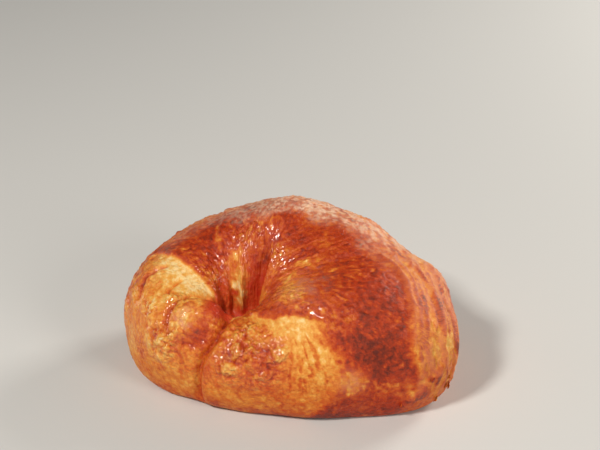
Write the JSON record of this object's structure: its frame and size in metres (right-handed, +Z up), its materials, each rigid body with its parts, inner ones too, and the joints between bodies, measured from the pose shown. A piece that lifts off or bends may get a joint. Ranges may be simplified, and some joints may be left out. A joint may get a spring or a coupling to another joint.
{
  "type": "croissant",
  "caption": "Curved baked roll of layered dough, with its two tips pressed together round a shallow closed dimple.",
  "frame": {"origin": "middle of the flat underside, on the surface that the roll lies on", "axes": "+Z up, +X along the roll's length towards its thick shoulder, +Y away from the pressed tips"},
  "size_m": [0.1274, 0.0931, 0.0615],
  "materials": {
    "crust": "baked crust, egg-washed and glossy brown on top, pale and matt where the dough stretched"
  },
  "bodies": {
    "root": {"croissant": "crust"}
  },
  "joints": []
}
